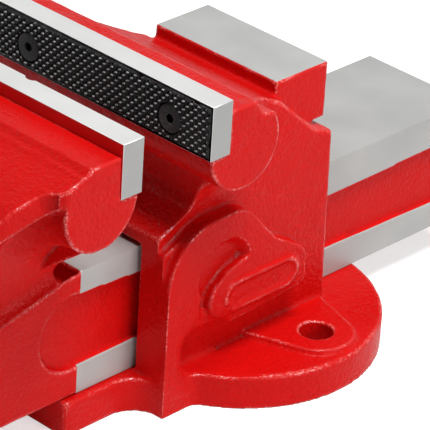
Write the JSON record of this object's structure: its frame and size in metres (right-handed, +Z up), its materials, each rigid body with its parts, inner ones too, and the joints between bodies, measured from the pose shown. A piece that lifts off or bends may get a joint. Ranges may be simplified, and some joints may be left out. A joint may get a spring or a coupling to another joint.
{
  "type": "engineers vise",
  "caption": "Engineers bench vise with a fixed base, serrated jaw plates, a box slide, an anvil pad and a screw turned by a sliding bar.",
  "frame": {"origin": "on the bench face, midway between the two base bolt holes", "axes": "+X along the jaws, +Y back from the handle along the slide, +Z up from the bench"},
  "size_m": [0.25, 0.4676, 0.175],
  "materials": {
    "red_painted_casting": "gloss red enamel on rough castings, with ground bare iron on the slide and anvil",
    "jaw_plate_steel": "ground tops and ends, blackened serrated faces",
    "black_steel": "black oxide",
    "nut_iron": "machined",
    "screw_steel": "turned",
    "spring_steel": "oiled",
    "zinc_steel": "zinc plated",
    "bar_steel": "bright plated"
  },
  "bodies": {
    "body": {"body_casting": "red_painted_casting", "fixed_jaw_plate": "jaw_plate_steel", "fixed_plate_screw_left": "black_steel", "fixed_plate_screw_right": "black_steel", "main_nut": "nut_iron", "nut_bolt_front": "black_steel", "nut_bolt_back": "black_steel", "nut_washer_front": "zinc_steel", "nut_washer_back": "zinc_steel"},
    "moving_jaw": {"moving_jaw_casting": "red_painted_casting", "moving_jaw_plate": "jaw_plate_steel", "moving_plate_screw_left": "black_steel", "moving_plate_screw_right": "black_steel", "thrust_washer": "zinc_steel", "thrust_spring": "spring_steel"},
    "screw": {"main_screw": "screw_steel", "spring_washer": "zinc_steel", "split_pin": "zinc_steel"},
    "handle": {"tommy_bar": "bar_steel", "bar_knob_left": "bar_steel", "bar_knob_right": "bar_steel"}
  },
  "joints": [
    {"name": "jaw_slide", "type": "slide", "parent": "body", "child": "moving_jaw", "axis": [0, 1, 0], "range_m": [-0.1331, 0.04145]},
    {"name": "screw_turn", "type": "hinge", "parent": "moving_jaw", "child": "screw", "pos_m": [0, -0.297, 0.044], "axis": [0, 1, 0], "range_deg": [-7980, 2484]},
    {"name": "bar_slide", "type": "slide", "parent": "screw", "child": "handle", "axis": [1, 0, 0], "range_m": [-0.08, 0.08]}
  ],
  "couplings": [
    {"joint": "jaw_slide", "follows": "screw_turn", "m_per_rad": 0.00095493}
  ]
}
